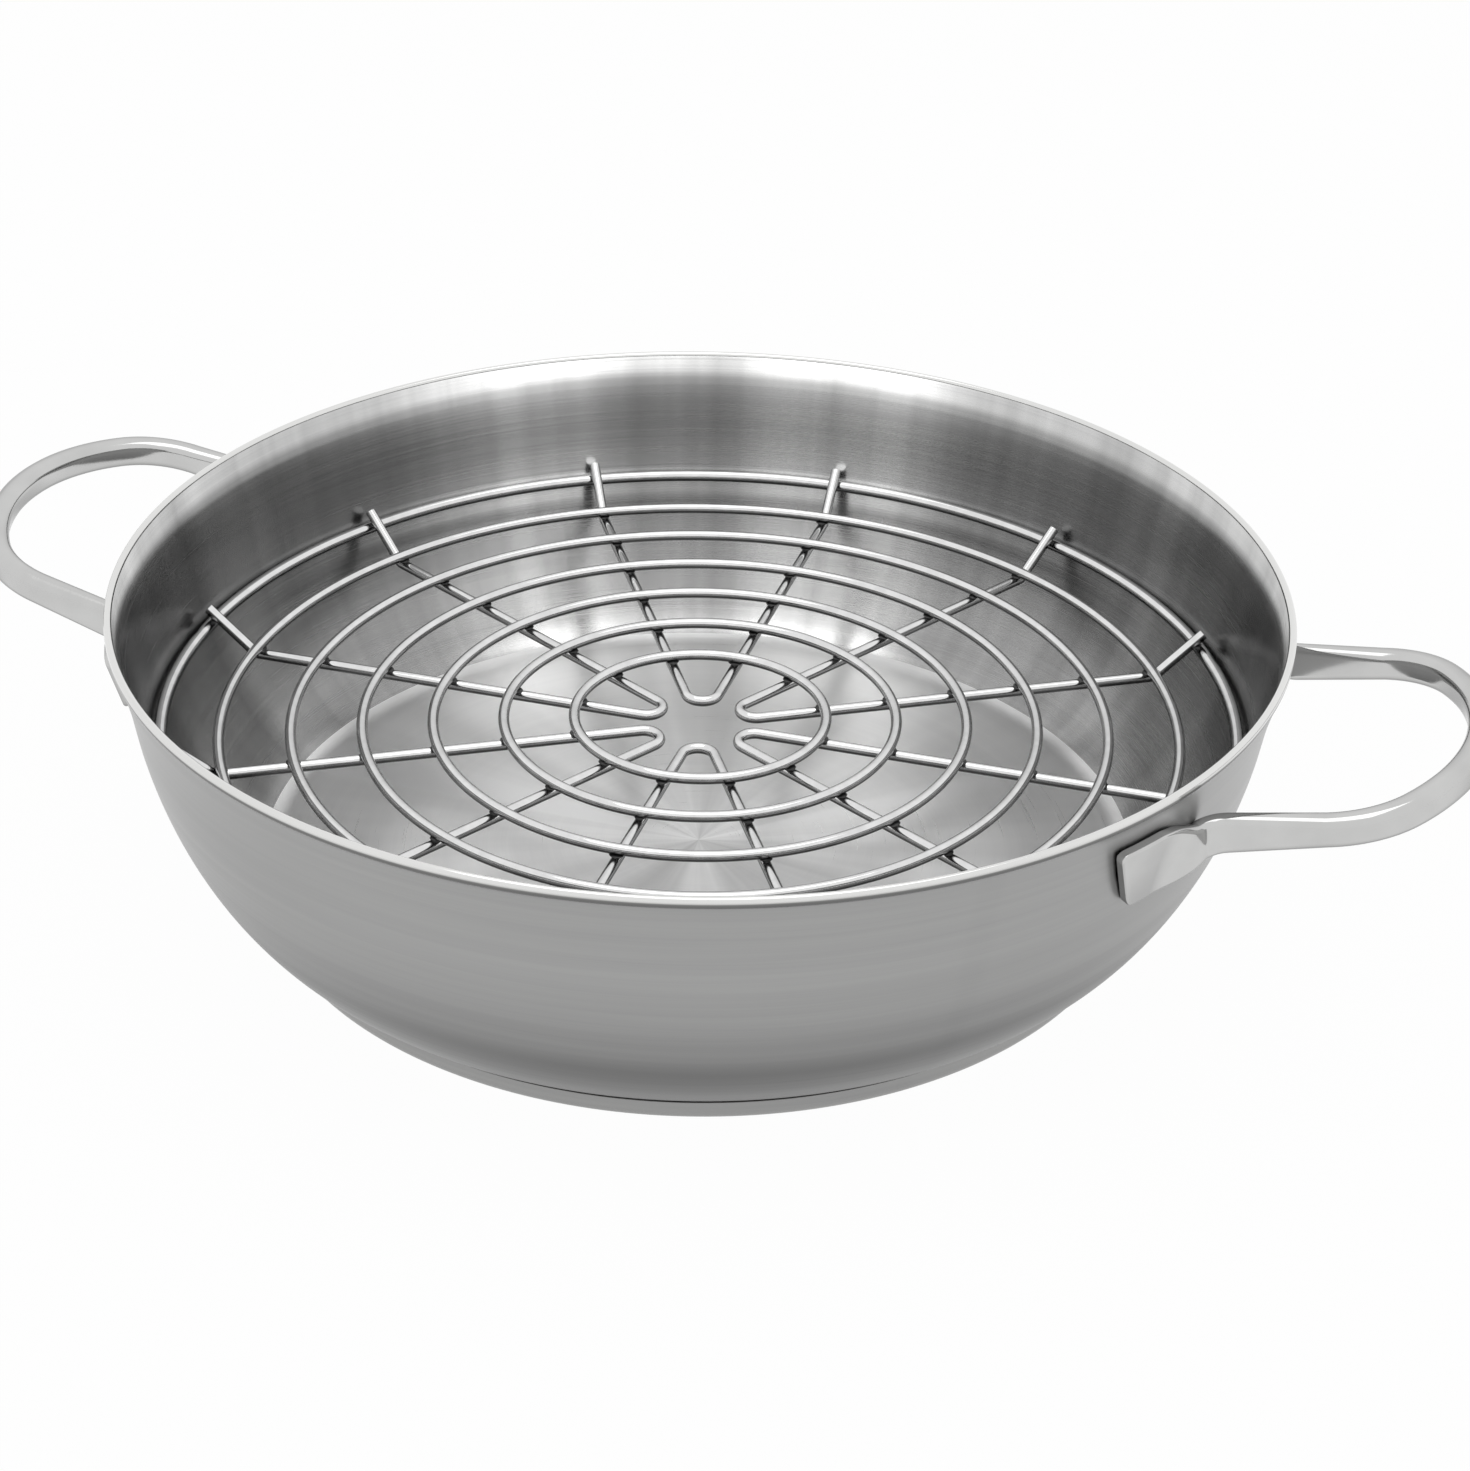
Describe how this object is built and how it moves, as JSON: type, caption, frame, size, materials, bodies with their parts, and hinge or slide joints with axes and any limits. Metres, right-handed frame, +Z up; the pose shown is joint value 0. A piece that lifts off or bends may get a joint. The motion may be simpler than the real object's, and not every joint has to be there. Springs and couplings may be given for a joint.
{
  "type": "stovetop smoker pan with rack",
  "caption": "Low round steel pan with a flared rim, a capped flat base, looped bar handles and a removable round wire rack inside.",
  "frame": {"origin": "middle of the pan's underside, on the surface that it stands on", "axes": "+Z up along the pan's axis, +X through the middle of the right handle"},
  "size_m": [0.3868, 0.29, 0.0818],
  "materials": {
    "pan_steel": "satin, with a bright rim",
    "base_steel": "turned satin",
    "core_aluminium": "plain",
    "handle_steel": "polished",
    "rack_wire": "bright plated"
  },
  "bodies": {
    "pan": {"pan_shell": "pan_steel", "base_core": "core_aluminium", "base_cap": "base_steel", "handle_left": "handle_steel", "handle_right": "handle_steel"},
    "rack": {"rack_ring_1": "rack_wire", "rack_ring_2": "rack_wire", "rack_ring_3": "rack_wire", "rack_ring_4": "rack_wire", "rack_ring_5": "rack_wire", "rack_ring_6": "rack_wire", "rack_outer_ring": "rack_wire", "rack_hairpin_1": "rack_wire", "rack_hairpin_2": "rack_wire", "rack_hairpin_3": "rack_wire", "rack_hairpin_4": "rack_wire", "rack_hairpin_5": "rack_wire", "rack_hairpin_6": "rack_wire"}
  },
  "joints": [
    {"name": "rack_lift", "type": "slide", "parent": "pan", "child": "rack", "axis": [0, 0, 1], "range_m": [0, 0.12]}
  ]
}
